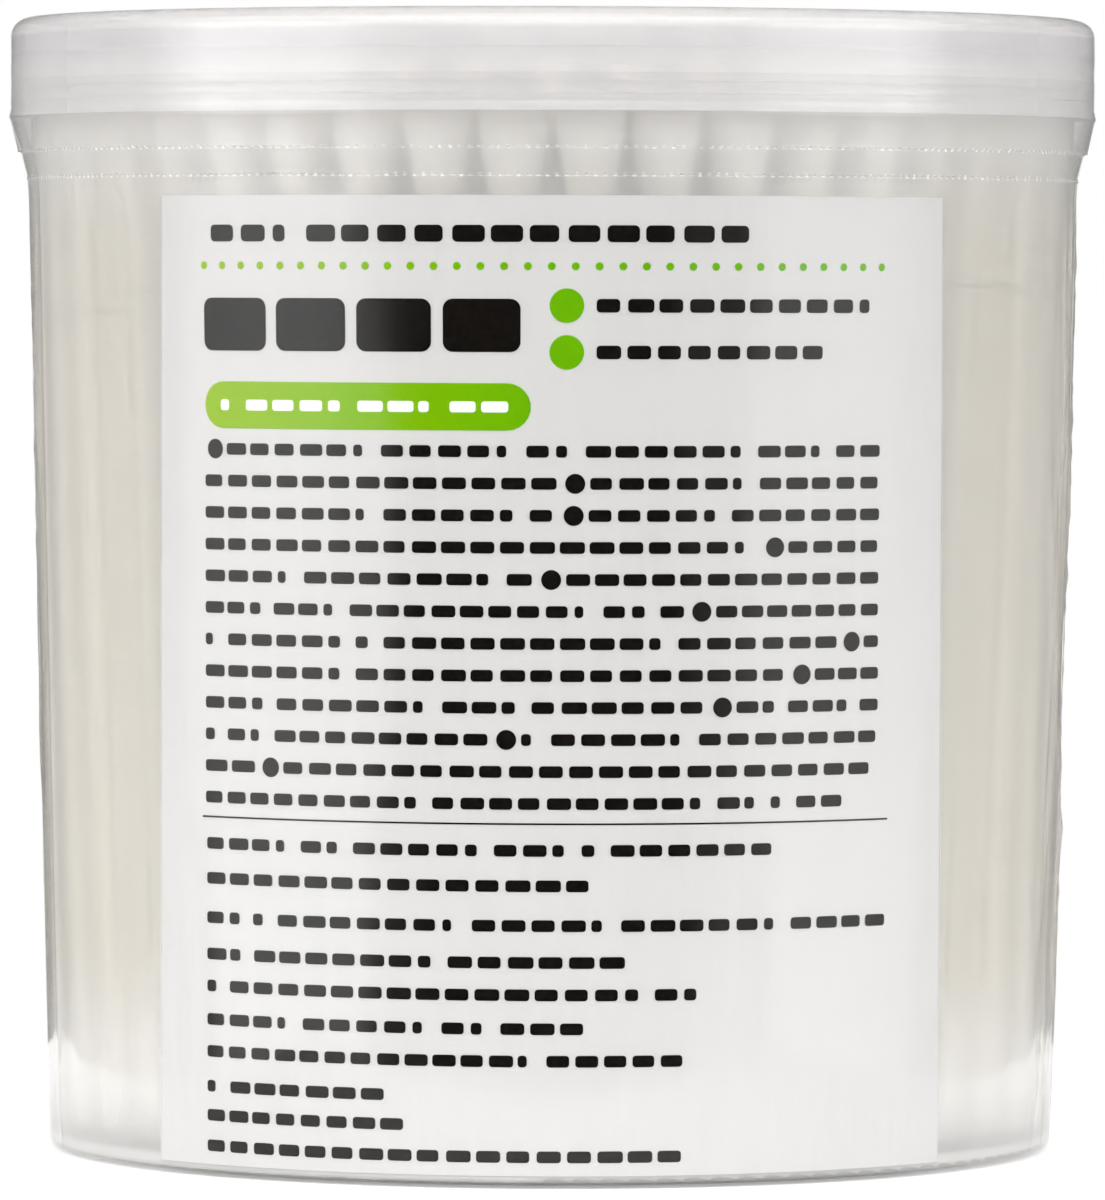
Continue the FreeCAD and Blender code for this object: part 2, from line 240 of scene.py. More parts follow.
def cotton_material(name, low, high):
    """Wound cotton that thins out raggedly over the paper stick."""
    material, tree, shader = new_material(name)
    tufts = noise(tree, object_coords(tree, (1, 1, 0.5)), 1.1, 3.0, 0.65)
    fibres = noise(tree, object_coords(tree, (1, 1, 0.3)), 4.0, 3.0, 0.7)
    white = ramp(tree, tufts, low, high)
    tail = add_node(tree, "ShaderNodeAttribute", attribute_name=TAIL)
    ragged = add_node(tree, "ShaderNodeMath", operation="MULTIPLY_ADD")
    tree.links.new(fibres, ragged.inputs[0])
    ragged.inputs[1].default_value = 0.5
    tree.links.new(tail.outputs["Fac"], ragged.inputs[2])
    thin = ramp(tree, ragged.outputs["Value"], (0, 0, 0), (1, 1, 1), 0.66, 1.0)
    mixed = add_node(tree, "ShaderNodeMix", data_type="RGBA")
    tree.links.new(thin, mixed.inputs[0])
    tree.links.new(white, mixed.inputs[6])
    mixed.inputs[7].default_value = (*STICK_COLOUR, 1)
    tree.links.new(mixed.outputs[2], shader.inputs["Base Color"])
    tree.links.new(spread(tree, fibres, 0.85, 1.0), shader.inputs["Roughness"])
    shader.inputs["Sheen Weight"].default_value = 0.25
    shader.inputs["Sheen Roughness"].default_value = 0.6
    shader.inputs["Specular IOR Level"].default_value = 0.2
    bump(tree, shader, fibres, 0.6, 0.08)
    return material


def matt_ink(name):
    """A matt ink without its colour, and the noise of how well it covers."""
    material, tree, shader = new_material(name)
    coverage = noise(tree, object_coords(tree), 2.5, 3.0, 0.6)
    tree.links.new(spread(tree, coverage, 0.55, 0.7), shader.inputs["Roughness"])
    shader.inputs["Specular IOR Level"].default_value = 0.0
    return material, tree, shader, coverage


def ink_material(name, low, high):
    material, tree, shader, coverage = matt_ink(name)
    tree.links.new(ramp(tree, coverage, low, high), shader.inputs["Base Color"])
    return material


def green_material():
    """Green ink that turns from yellow-green to leaf green across the label."""
    material, tree, shader, coverage = matt_ink("green_ink")
    split = add_node(tree, "ShaderNodeSeparateXYZ")
    tree.links.new(object_coords(tree), split.inputs[0])
    across = add_node(tree, "ShaderNodeMapRange")
    across.inputs["From Min"].default_value = -25.0
    across.inputs["From Max"].default_value = 1.0
    tree.links.new(split.outputs["X"], across.inputs["Value"])
    cloudy = add_node(tree, "ShaderNodeMath", operation="MULTIPLY_ADD")
    tree.links.new(coverage, cloudy.inputs[0])
    cloudy.inputs[1].default_value = 0.1
    tree.links.new(across.outputs["Result"], cloudy.inputs[2])
    yellow_green, leaf_green = (0.28, 0.46, 0.001), (0.14, 0.42, 0.0005)
    green = ramp(tree, cloudy.outputs["Value"], yellow_green, leaf_green, 0.05, 1.0)
    tree.links.new(green, shader.inputs["Base Color"])
    return material


TUB_PLASTIC = plastic(
    "tub_plastic", (0.96, 0.945, 0.925), (0.98, 0.965, 0.95),
    clear=0.4, cover=0.5, rough=(0.09, 0.16), stretch=(1, 1, 0.15), thick=(1.0, 2.4),
)
LID_PLASTIC = plastic(
    "lid_plastic", (0.96, 0.948, 0.965), (0.98, 0.968, 0.985),
    clear=0.55, cover=0.42, rough=(0.15, 0.24),
)
FILM = film_material()
FILM_INSIDE = film_inside_material()
FILM_CUT = film_cut_material()
STICK_PAPER = paper_material("stick_paper", (0.94, 0.87, 0.67), (0.97, 0.92, 0.74))
LABEL_PAPER = paper_material("label_paper", (0.665, 0.655, 0.645), (0.685, 0.675, 0.665), 0.06)
COTTON = cotton_material("cotton", (0.94, 0.92, 0.88), (0.97, 0.955, 0.92))
# Cotton for the buds away from the wall, a warmer ivory than the wall row's cotton: painted warm shade
# for the light between the packed buds.
COTTON_WARM_SHADE = cotton_material("cotton_painted_warm_shade", (0.94, 0.91, 0.83), (0.97, 0.945, 0.88))
DARK_INK = ink_material("dark_ink", (0.004, 0.003, 0.002), (0.009, 0.007, 0.006))
GREEN_INK = green_material()
WHITE_INK = ink_material("white_ink", (0.86, 0.86, 0.84), (0.90, 0.90, 0.88))


# Mesh helpers

def mesh_piece(name, points, faces, material, body):
    """A piece from points in millimetres that rides on a body."""
    mesh = bpy.data.meshes.new(name)
    mesh.from_pydata((np.asarray(points, float) * MM).tolist(), [], faces)
    mesh.polygons.foreach_set("use_smooth", [True] * len(mesh.polygons))
    mesh.update()
    mesh.materials.append(material)
    piece = bpy.data.objects.new(name, mesh)
    bpy.context.scene.collection.objects.link(piece)
    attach(piece, body)
    return piece


def set_material(piece, material):
    piece.data.materials.clear()
    piece.data.materials.append(material)


def grid_faces(rows, columns, start=0, flip=False, wrap=True):
    """Quads of a grid of points that closes round its columns."""
    faces = []
    last = columns if wrap else columns - 1
    for row in range(rows - 1):
        for column in range(last):
            a = start + row * columns + column
            b = start + row * columns + (column + 1) % columns
            c, d = b + columns, a + columns
            faces.append((a, d, c, b) if flip else (a, b, c, d))
    return faces


# Shrink film

FILM_COLUMNS = 1080
COLUMNS_PER_CUT = 3
# Half the gap along a row of perforations, and how far in from it the film's first ring stands.
CUT = 0.03
EDGE = 0.12
# At each cut the film's edge stands off and steps back, and between the cuts it reaches out.
CUT_LIFT = 0.03
CUT_DEPTH = 0.07
TOOTH = 0.02
# The two bearings of the flat tube's factory folds.
LEFT_CREASE = -74.5
RIGHT_CREASE = 105.5
DEEPEST_FOLD = 0.4
bearings = np.arange(FILM_COLUMNS) * 2 * math.pi / FILM_COLUMNS


def angle_from(bearing, middle):
    """Signed angle in radians from a middle given in degrees."""
    return (bearing - math.radians(middle) + math.pi) % (2 * math.pi) - math.pi


def soft_ripples(bearing, z, count, slow, fast, tilt, seed):
    """Smooth ripples round the film, from sines with whole numbers of turns."""
    draw = random.Random(seed)
    total = np.zeros(np.broadcast(bearing, z).shape)
    for _ in range(count):
        turns = draw.randint(slow, fast)
        phase = draw.uniform(0, 2 * math.pi)
        total = total + np.sin(bearing * turns + z * draw.uniform(-tilt, tilt) + phase)
    return total / math.sqrt(count)


def fold_lines(bearing, z, count, middle, reach, low, high, seed):
    """Sharp little folds scattered round a middle bearing."""
    draw = random.Random(seed)
    total = np.zeros(np.broadcast(bearing, z).shape)
    for _ in range(count):
        at = middle + draw.uniform(-reach, reach)
        height = draw.uniform(low, high)
        run = draw.uniform(2.0, 11.0)
        lean = draw.uniform(-0.35, 0.35)
        width = draw.uniform(0.16, 0.4)
        across = angle_from(bearing, at) * RIM_RADIUS - (z - height) * lean
        along = (z - height) / run
        total = total + draw.uniform(0.5, 1.0) * np.exp(-np.abs(across) / width - along ** 2)
    return total


def creases(bearing, width):
    """The film tube's two factory folds, fine ridges down its whole height."""
    total = 0.0
    for middle in (LEFT_CREASE, RIGHT_CREASE):
        total = total + np.exp(-np.abs(angle_from(bearing, middle)) * RIM_RADIUS / width)
    return total


def film_rise(bearing, z):
    """How far the film stands off its resting line, in millimetres."""
    ripples = soft_ripples(bearing, z, count=9, slow=9, fast=40, tilt=0.10, seed=3)
    gentle = 0.035 * (1.2 + ripples).clip(0, None)
    right = fold_lines(bearing, z, count=46, middle=84, reach=11, low=3, high=62, seed=5)
    back = fold_lines(bearing, z, count=60, middle=190, reach=70, low=3, high=64, seed=8)
    left = fold_lines(bearing, z, count=16, middle=-86, reach=8, low=5, high=64, seed=13)
    folds = (0.24 * right + 0.20 * back + 0.14 * left).clip(0, DEEPEST_FOLD)
    return 0.16 * creases(bearing, 0.35) + gentle + folds


def film_shell(name, profile, rise, body, teeth=()):
    """A closed thin sheet turned about Z from an inner profile of (radius, z) points.

    rise gives each point's outward wrinkle.
    teeth names the profile's ends that are cut by perforations.
    """
    turn = bearings[None, :]
    radii = np.array([point[0] for point in profile])[:, None]
    heights = np.array([point[1] for point in profile])[:, None] + 0 * turn
    steps = np.diff(np.array(profile), axis=0)
    normals = np.stack([steps[:, 1], -steps[:, 0]], 1)
    normals /= np.linalg.norm(normals, axis=1)[:, None]
    joint = np.vstack([normals[:1], normals[:-1] + normals[1:], normals[-1:]])
    joint /= np.linalg.norm(joint, axis=1)[:, None]
    out_r, out_z = joint[:, :1], joint[:, 1:]
    lift = rise(turn, heights)
    cuts = np.arange(FILM_COLUMNS) % COLUMNS_PER_CUT == 0
    for end in teeth:
        beside = end - 1 if end else 1
        direction = 1 if profile[end][1] > profile[beside][1] else -1
        lift[end] += CUT_LIFT * cuts
        heights[end] += direction * np.where(cuts, -CUT_DEPTH, TOOTH)
    rows = []
    for offset in (lift + FILM_THICKNESS, lift):
        r = radii + offset * out_r
        h = heights + offset * out_z
        rows.append(np.stack([r * np.sin(turn), -r * np.cos(turn), h], -1).reshape(-1, 3))
    count = len(profile)
    points = np.concatenate(rows)
    inner = count * FILM_COLUMNS
    top = inner - FILM_COLUMNS
    faces = grid_faces(count, FILM_COLUMNS)
    faces += grid_faces(count, FILM_COLUMNS, inner, flip=True)
    for column in range(FILM_COLUMNS):
        after = (column + 1) % FILM_COLUMNS
        faces.append((column, inner + column, inner + after, after))
        faces.append((top + after, inner + top + after, inner + top + column, top + column))
    piece = mesh_piece(name, points, faces, FILM, body)
    piece.data.materials.append(FILM_INSIDE)
    piece.data.materials.append(FILM_CUT)
    sheets = np.zeros(len(faces), int)
    sheets[top:2 * top] = 1
    for end in teeth:
        row = max(end - 1, 0) * FILM_COLUMNS
        sheets[row + 1:row + FILM_COLUMNS:COLUMNS_PER_CUT] = 2
    piece.data.polygons.foreach_set("material_index", sheets)
    return piece


def line(start, end, count):
    """Evenly spaced (radius, z) points from start to end, with both ends."""
    start = np.array(start)
    run = np.array(end) - start
    return [tuple(start + run * step / count) for step in range(count + 1)]


def round_corner(centre, radius, start, end, count):
    """Points on an arc, from a start angle to an end angle in degrees."""
    angles = [math.radians(start + (end - start) * step / count) for step in range(count + 1)]
    return [(centre[0] + radius * math.cos(a), centre[1] + radius * math.sin(a)) for a in angles]


def make_film():
    skirt = LID_OUTSIDE + FILM_GAP
    top = LID_TOP + FILM_GAP
    corner = (LID_OUTSIDE - LID_ROUND, LID_TOP - LID_ROUND)
    upper_radius = tub_radius(UPPER_ROW) + UPPER_STAND
    lower_radius = tub_radius(LOWER_ROW) + LOWER_STAND
    # The profiles run so that their right side is the film's outer face.
    cap = [(upper_radius, UPPER_ROW + CUT)]
    cap += line((upper_radius + EDGE / 3, UPPER_ROW + CUT + EDGE), (skirt + LIP_PROUD, LID_BOTTOM), 7)
    cap += line((skirt, LID_BOTTOM + LIP_HEIGHT), (skirt, corner[1]), 24)
    cap += round_corner(corner, LID_ROUND + FILM_GAP, 0, 90, 5)[1:]
    cap += line((corner[0], top), (LID_OUTSIDE - FILM_TOP_HEM, top), 6)[1:]
    band = [(lower_radius, LOWER_ROW + CUT)]
    band += line((lower_radius + EDGE / 4, LOWER_ROW + CUT + EDGE),
                 (upper_radius - EDGE / 4, UPPER_ROW - CUT - EDGE), 5)
    band += [(upper_radius, UPPER_ROW - CUT)]
    under = FOOT_HEIGHT - FILM_WALL_GAP
    base = tub_radius(under) + FILM_WALL_GAP
    centre = (base - FILM_BASE_ROUND, under + FILM_BASE_ROUND)
    meet = (tub_radius(FILM_MEETS_WALL) + FILM_WALL_GAP, FILM_MEETS_WALL)
    sleeve = line((BASE_RADIUS - FILM_BASE_HEM, under), (centre[0], under), 3)
    sleeve += round_corner(centre, FILM_BASE_ROUND, -90, 0, 4)[1:]
    sleeve += line((base, centre[1]), meet, 30)[1:]
    sleeve += line(meet, (lower_radius - EDGE / 4, LOWER_ROW - CUT - EDGE), 2)[1:]
    sleeve += [(lower_radius, LOWER_ROW - CUT)]

    def cap_rise(turn, z):
        """Tight over the lip and the lid's edge, softly rippled on the skirt, slack below the lip."""
        slack = LID_BOTTOM - 0.5
        over_lip = (z > slack) & (z < LID_BOTTOM + LIP_HEIGHT + 0.1)
        over_edge = z > LID_TOP - 0.4
        skirt = soft_ripples(turn, z, count=7, slow=1, fast=5, tilt=5.0, seed=21)
        gathers = soft_ripples(turn, z, count=9, slow=7, fast=50, tilt=0.6, seed=22)
        pulled = 0.010 * (1.4 + skirt).clip(0, None)
        below = 0.10 * (slack - z).clip(0, None) * (1 + 0.3 * gathers)
        loose = pulled + 0.05 * creases(turn, 0.4) + below.clip(0, None)
        return np.where(over_lip | over_edge, 0.0, loose)

    def band_rise(turn, z):
        return 0.3 * film_rise(turn, z).clip(0, DEEPEST_FOLD)

    def sleeve_rise(turn, z):
        """Tight round the base, and free from 3 mm up."""
        return film_rise(turn, z) * ((z - 1.0) / 2.0).clip(0, 1)

    pieces = [
        film_shell("film_over_lid", cap, cap_rise, "lid", (0,)),
        film_shell("film_tear_band", band, band_rise, "tub", (0, len(band) - 1)),
        film_shell("film_round_tub", sleeve, sleeve_rise, "tub", (len(sleeve) - 1,)),
    ]
    for piece, node in zip(pieces, ("film_cap", "tear_band", "film_sleeve")):
        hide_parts(node)


# Swabs

BUD_BELLY = 5.4
BUD_WIDEST = 2.56
BUD_NECK = 1.22
NOSE_GAP = 0.02
BUD_GAP = 0.012
WALL_GAP = 0.02
BORE_GAP = 0.01
NEIGHBOUR_REACH = 9.0
# Rounds the meeting of two limits on a bud's radius: the higher, the sharper.
BLEND = 12.0
UNLIMITED = 1e3
# The row by the wall is made finer, since it is the one that shows.
WALL_ROW_DEPTH = 1.0


def loose_parts(node):
    """The separate solids of a CAD node, as arrays of points in millimetres."""
    mesh = node.data
    points = np.array([v.co for v in mesh.vertices], float) / MM
    keys = {}
    same = [keys.setdefault(tuple(np.round(point, 4)), number) for number, point in enumerate(points)]
    parent = list(range(len(points)))

    def root(number):
        while parent[number] != number:
            parent[number] = parent[parent[number]]
            number = parent[number]
        return number

    for polygon in mesh.polygons:
        corners = [same[v] for v in polygon.vertices]
        for corner in corners[1:]:
            parent[root(corner)] = root(corners[0])
    groups = {}
    for number in set(same):
        groups.setdefault(root(number), []).append(number)
    return [points[members] for _, members in sorted(groups.items())]


def swab_axes():
    """Foot point and direction of each swab, read from the CAD sticks."""
    axes = []
    for name in sorted(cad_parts):
        if not name.startswith("sticks"):
            continue
        for points in loose_parts(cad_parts[name]):
            middle = points[:, 2].mean()
            low = points[points[:, 2] < middle].mean(0)
            high = points[points[:, 2] > middle].mean(0)
            along = (high - low) / np.linalg.norm(high - low)
            axes.append((low - along * STICK_COVER, along))
    return axes


def bud_radius(s, end):
    """Radius of the loose cotton at a distance from the swab's end, where nothing presses on it."""
    nose = np.clip(s / BUD_BELLY, 0, 1)
    head = BUD_WIDEST * (1 - (1 - nose) ** 2.3) ** 0.56
    fall = np.clip((s - BUD_BELLY) / (end - BUD_BELLY), 0, 1)
    tail = BUD_NECK + (BUD_WIDEST - BUD_NECK) * (1 - fall) ** 3.0 * (1 + 0.9 * fall)
    return np.where(s < BUD_BELLY, head, tail)


def press(tight, centres_to_limit, facing):
    """Add a flat limit to a bud's blended radius, on the side that faces it."""
    limit = centres_to_limit[:, None] / facing.clip(0.02, None)
    return tight + np.where(facing > 0.02, limit, UNLIMITED) ** -BLEND


def cotton_bud(axes, number, at_top, rings, sides, draw):
    """Points and faces of one bud, pressed flat where its neighbours and the wall meet it."""
    foot, along = axes[number]
    start = foot + along * SWAB_LENGTH if at_top else foot
    inward = -along if at_top else along
    turn = np.arange(sides) * 2 * math.pi / sides + draw.uniform(0, 6)
    share = np.linspace(0, 1, rings + 1)[1:]
    end = draw.uniform(15.4, 18.4)
    s = end * share ** 1.25
    centres = start + s[:, None] * inward
    loose = bud_radius(s, end)[:, None] + 0 * turn
    outward = np.stack([np.cos(turn), np.sin(turn)], 1)
    tight = loose ** -BLEND
    for other, (base, lean) in enumerate(axes):
        if other == number or np.hypot(*(base - foot)[:2]) > NEIGHBOUR_REACH:
            continue
        there = base + lean * ((centres[:, 2] - base[2]) / lean[2])[:, None]
        half = (there - centres)[:, :2] / 2
        reach = np.linalg.norm(half, axis=1)
        tight = press(tight, reach - BUD_GAP, (half / reach[:, None]) @ outward.T)
    room = tub_radius(centres[:, 2]) - TUB_WALL - WALL_GAP
    away = np.hypot(centres[:, 0], centres[:, 1])
    tight = press(tight, room - away, (centres[:, :2] / away[:, None]) @ outward.T)
    radius = tight ** (-1 / BLEND)
    lumps = np.zeros_like(radius)
    for _ in range(7):
        waves = draw.randint(1, 7)
        lumps += np.sin(turn * waves + s[:, None] * draw.uniform(-2.2, 2.2) + draw.uniform(0, 6.3))
    fluff = np.array([draw.random() for _ in range(radius.size)]).reshape(radius.shape)
    radius = radius - 0.035 * (1 + lumps / 7 ** 0.5).clip(0, 2) - 0.05 * fluff
    radius = np.where(s[:, None] > 2, np.maximum(radius, STICK_RADIUS + 0.02), radius)
    side_x = np.cross(along, (0.0, 1.0, 0.0))
    side_x /= np.linalg.norm(side_x)
    side_y = np.cross(along, side_x)
    if side_x[0] < 0:
        side_x = -side_x
    if side_y[1] < 0:
        side_y = -side_y
    ring = np.cos(turn)[:, None] * side_x + np.sin(turn)[:, None] * side_y
    shell = centres[:, None, :] + radius[:, :, None] * ring[None]
    bore = (STICK_RADIUS + BORE_GAP) * ring
    tip = start + NOSE_GAP * inward
    neck = start + (end - 0.02) * inward + bore
    floor = start + (STICK_COVER - 0.03) * inward
    points = np.concatenate([tip[None], shell.reshape(-1, 3), neck, floor + bore, floor[None]])
    first = 1
    last = first + (rings + 1) * sides
    middle = len(points) - 1
    faces = []
    for column in range(sides):
        after = (column + 1) % sides
        a, b = (column, after) if at_top else (after, column)
        faces.append((0, first + a, first + b))
        faces.append((middle, last + b, last + a))
    faces += grid_faces(rings + 2, sides, first, flip=at_top)
    inside = np.ones(len(points) - 1 - rings * sides)
    tail = np.concatenate([[0.0], np.repeat(s / s[-1], sides), inside])
    return points, faces, tail


def make_cotton():
    axes = swab_axes()
    draw = random.Random(7)
    reach = [np.hypot(*(foot + along * SWAB_LENGTH)[:2]) for foot, along in axes]
    limit = max(reach) - WALL_ROW_DEPTH
    wall_row = [number for number in range(len(axes)) if reach[number] > limit]
    others = [number for number in range(len(axes)) if reach[number] <= limit]
    # The inner buds take the warmer cotton, which paints warm shade into the gaps between the buds.
    plans = (
        ("cotton_tops_by_wall", wall_row, COTTON, True, 34, 34),
        ("cotton_tops_inside", others, COTTON_WARM_SHADE, True, 20, 22),
        ("cotton_feet_by_wall", wall_row, COTTON, False, 34, 34),
        ("cotton_feet_inside", others, COTTON_WARM_SHADE, False, 12, 16),
    )
    for name, members, material, at_top, rings, sides in plans:
        points, faces, tails, start = [], [], [], 0
        for number in members:
            bud_points, bud_faces, bud_tail = cotton_bud(axes, number, at_top, rings, sides, draw)
            points.append(bud_points)
            tails.append(bud_tail)
            faces += [tuple(start + corner for corner in face) for face in bud_faces]
            start += len(bud_points)
        piece = mesh_piece(name, np.concatenate(points), faces, material, "tub")
        tail = piece.data.attributes.new(TAIL, "FLOAT", "POINT")
        tail.data.foreach_set("value", np.concatenate(tails))
        kind = "top_buds" if at_top else "foot_buds"
        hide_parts(*[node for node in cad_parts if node.startswith(kind)])


# Print on the label: plain bars, dots and one pill, as thin raised marks

INK_LIFT = 0.006
INK_DEPTH = 0.01
OVERPRINT = 0.012
COLUMN_STEP = 1.2
CORNER_STEPS = 5
# The outermost point of a corner's arc stops short of a right angle, so no column is a line.
CORNER_TURN = 82
NARROW_SHARE = 0.12


class Marks:
    """Thin closed slabs on the label's face, placed by arc length and height in millimetres."""

    def __init__(self):
        self.points = []
        self.faces = []

    def add(self, left, right, low, high, corner, lift=0.0):
        """A slab with rounded corners, as columns of (arc length, drop of its edge)."""
        corner = min(corner, (high - low) / 2, (right - left) / 2)
        steps = range(CORNER_STEPS + 1)
        angles = [math.radians(CORNER_TURN * (1 - step / CORNER_STEPS)) for step in steps]
        columns = [(left + corner * (1 - math.sin(a)), corner * (1 - math.cos(a))) for a in angles]
        flat = right - left - 2 * corner
        middle = max(1, int(flat / COLUMN_STEP))
        inner = [(left + corner + flat * step / middle, 0.0) for step in range(1, middle)]
        mirrored = [(left + right - x, drop) for x, drop in reversed(columns)]
        start = len(self.points)
        columns = columns + inner + mirrored
        for x, drop in columns:
            for depth in (INK_LIFT + INK_DEPTH + lift, INK_LIFT + lift):
                for z in (high - drop, low + drop):
                    r = tub_radius(z) + LABEL_OUTER_GAP + depth
                    turn = x / tub_radius((low + high) / 2)
                    self.points.append((r * math.sin(turn), -r * math.cos(turn), z))
        for number in range(len(columns) - 1):
            a = start + number * 4
            b = a + 4
            self.faces.append((a + 1, b + 1, b, a))
            self.faces.append((a + 3, a + 2, b + 2, b + 3))
            self.faces.append((a, b, b + 2, a + 2))
            self.faces.append((a + 1, a + 3, b + 3, b + 1))
        end = start + (len(columns) - 1) * 4
        self.faces.append((start, start + 2, start + 3, start + 1))
        self.faces.append((end, end + 1, end + 3, end + 2))

    def dot(self, x, z, radius):
        self.add(x - radius, x + radius, z - radius, z + radius, radius)

    def piece(self, name, material):
        made = mesh_piece(name, self.points, self.faces, material, "tub")
        made.data.polygons.foreach_set("use_smooth", [False] * len(made.data.polygons))
        return made


def bar_row(marks, left, right, middle, pitch, height, draw, lift=0.0):
    """A row of short bars that stands for a line of print."""
    count = max(1, round((right - left) / pitch))
    pitch = (right - left) / count
    for number in range(count):
        narrow = draw.random() < NARROW_SHARE
        width = pitch * (draw.uniform(0.3, 0.45) if narrow else draw.uniform(0.74, 0.86))
        x = left + pitch * number
        marks.add(x, x + width, middle - height / 2, middle + height / 2, height * 0.3, lift)


def print_heading(dark, green, draw):
    """A row of large bars, four blocks, two green bullets with their rows, and a row of dots."""
    bar_row(dark, -25.1, 14.2, 64.7, 2.62, 1.15, draw)
    for number in range(4):
        left = -25.7 + number * 6.1
        dark.add(left, left + 5.3, 56.7, 60.3, 0.7)
    for z, right in ((59.85, 24.3), (56.7, 19.7)):
        green.dot(1.0, z, 1.17)
        bar_row(dark, 3.0, right, z, 2.15, 0.92, draw)
    for number in range(32):
        green.dot(-25.7 + number * 1.605, 62.5, 0.27)


def print_paragraph(dark, draw):
    """Twelve rows of small bars, all but the last with a bullet at its own place."""
    left, top, row_step = -25.6, 50.0, 2.166
    bullets = (-24.7, 1.6, 1.5, 15.6, 0.0, 10.3, 21.7, 17.7, 11.8, -3.0, -20.0, None)
    rights = (24.3,) * 10 + (23.5, 21.2)
    for number, (bullet, right) in enumerate(zip(bullets, rights)):
        z = top - row_step * number
        spans = [(left, right)]
        if bullet is not None:
            dark.dot(bullet, z, 0.68)
            spans = [(left, bullet - 0.95), (bullet + 1.0, right)]
        for start, end in spans:
            if end - start > 0.8:
                bar_row(dark, start, end, z, 1.98, 0.8, draw)


def print_footer(dark, draw):
    """A thin line with ten rows of small bars below it, each with its height and right end."""
    dark.add(-25.9, 24.9, 24.75, 24.87, 0.02)
    rows = (
        (23.0, 15.9), (20.6, 3.1), (17.9, 25.0), (15.4, 5.4), (13.2, 11.2),
        (10.9, 2.7), (8.7, 9.5), (6.3, -11.0), (4.3, -9.7), (2.2, 9.4),
    )
    for z, right in rows:
        bar_row(dark, -25.5, right, z, 2.0, 0.8, draw)


def make_print():
    draw = random.Random(4)
    dark, green, white = Marks(), Marks(), Marks()
    print_heading(dark, green, draw)
    green.add(-25.6, -1.4, 51.4, 54.6, 1.6)
    bar_row(white, -24.2, -2.6, 53.0, 2.15, 0.75, draw, OVERPRINT)
    print_paragraph(dark, draw)
    print_footer(dark, draw)
    dark.piece("print_dark", DARK_INK)
    green.piece("print_green", GREEN_INK)
    white.piece("print_white", WHITE_INK)


# Scene

BASE_LIGHT = 0.42
# Soft panels of light: bearing from the front and height in degrees, the angles from the middle
# where a panel starts to fade and ends, and its strength. The last two take light away.
PANELS = (
    (0, 42, 12, 44, 2.7),
    (-66, 32, 12, 38, 1.9),
    (68, 32, 12, 38, 1.8),
    (-64, 3, 12, 32, 1.8),
    (66, 3, 10, 30, 1.4),
    (0, -8, 24, 36, -0.36),
    (180, -5, 50, 110, -0.33),
)
# Light from behind that only matt surfaces take up, and the white backdrop behind the object.
BACK_LIGHT = (180, 5, 50, 105, 0.8)
BACKDROP = (180, -2, 7, 12, 1.0)

FLOOR_HALF = 0.085
FLOOR_LIGHT = 0.34

SENSOR_WIDTH = 36.0
LENS = 296.9
CAMERA_PLACE = (0, -0.704, 0.0617)
CAMERA_AIM = (0.0001, 0, 0.0388)
CAMERA_ROLL = 0.18


def gloss_or_glass(tree, path):
    """One for a ray that a surface has mirrored or let through."""
    both = add_node(tree, "ShaderNodeMath", operation="ADD")
    tree.links.new(path.outputs["Is Glossy Ray"], both.inputs[0])
    tree.links.new(path.outputs["Is Transmission Ray"], both.inputs[1])
    return both.outputs["Value"]


def make_world():
    """White behind the object for the camera, and a soft studio round it for the light."""
    world = bpy.data.worlds.new("studio")
    bpy.context.scene.world = world
    world.cycles.sampling_method = "NONE"
    world.use_nodes = True
    tree = world.node_tree
    background = tree.nodes["Background"]
    coords = add_node(tree, "ShaderNodeTexCoord")

    def glow(bearing, height, inner, outer, strength):
        a, e = math.radians(bearing), math.radians(height)
        direction = (math.sin(a) * math.cos(e), -math.cos(a) * math.cos(e), math.sin(e))
        dot = add_node(tree, "ShaderNodeVectorMath", operation="DOT_PRODUCT")
        dot.inputs[1].default_value = direction
        tree.links.new(coords.outputs["Generated"], dot.inputs[0])
        fade = add_node(tree, "ShaderNodeMapRange", interpolation_type="SMOOTHSTEP")
        fade.inputs["From Min"].default_value = math.cos(math.radians(outer))
        fade.inputs["From Max"].default_value = math.cos(math.radians(inner))
        fade.inputs["To Max"].default_value = strength
        tree.links.new(dot.outputs["Value"], fade.inputs["Value"])
        return fade.outputs["Result"]

    total = None
    for panel in PANELS:
        add = add_node(tree, "ShaderNodeMath", operation="ADD")
        if total is None:
            add.inputs[1].default_value = BASE_LIGHT
        else:
            tree.links.new(total, add.inputs[1])
        tree.links.new(glow(*panel), add.inputs[0])
        total = add.outputs["Value"]
    path = add_node(tree, "ShaderNodeLightPath")
    light = add_node(tree, "ShaderNodeMath", operation="MULTIPLY_ADD")
    tree.links.new(glow(*BACK_LIGHT), light.inputs[0])
    tree.links.new(path.outputs["Is Diffuse Ray"], light.inputs[1])
    tree.links.new(total, light.inputs[2])
    # White for the camera everywhere, and for gloss and glass where the backdrop stands.
    white = add_node(tree, "ShaderNodeMath", operation="MULTIPLY_ADD", use_clamp=True)
    tree.links.new(gloss_or_glass(tree, path), white.inputs[0])
    tree.links.new(glow(*BACKDROP), white.inputs[1])
    tree.links.new(path.outputs["Is Camera Ray"], white.inputs[2])
    mix = add_node(tree, "ShaderNodeMix", data_type="FLOAT")
    tree.links.new(white.outputs["Value"], mix.inputs[0])
    tree.links.new(light.outputs["Value"], mix.inputs[2])
    mix.inputs[3].default_value = 1.0
    tree.links.new(mix.outputs[0], background.inputs["Strength"])
    background.inputs["Color"].default_value = (1, 1, 1, 1)


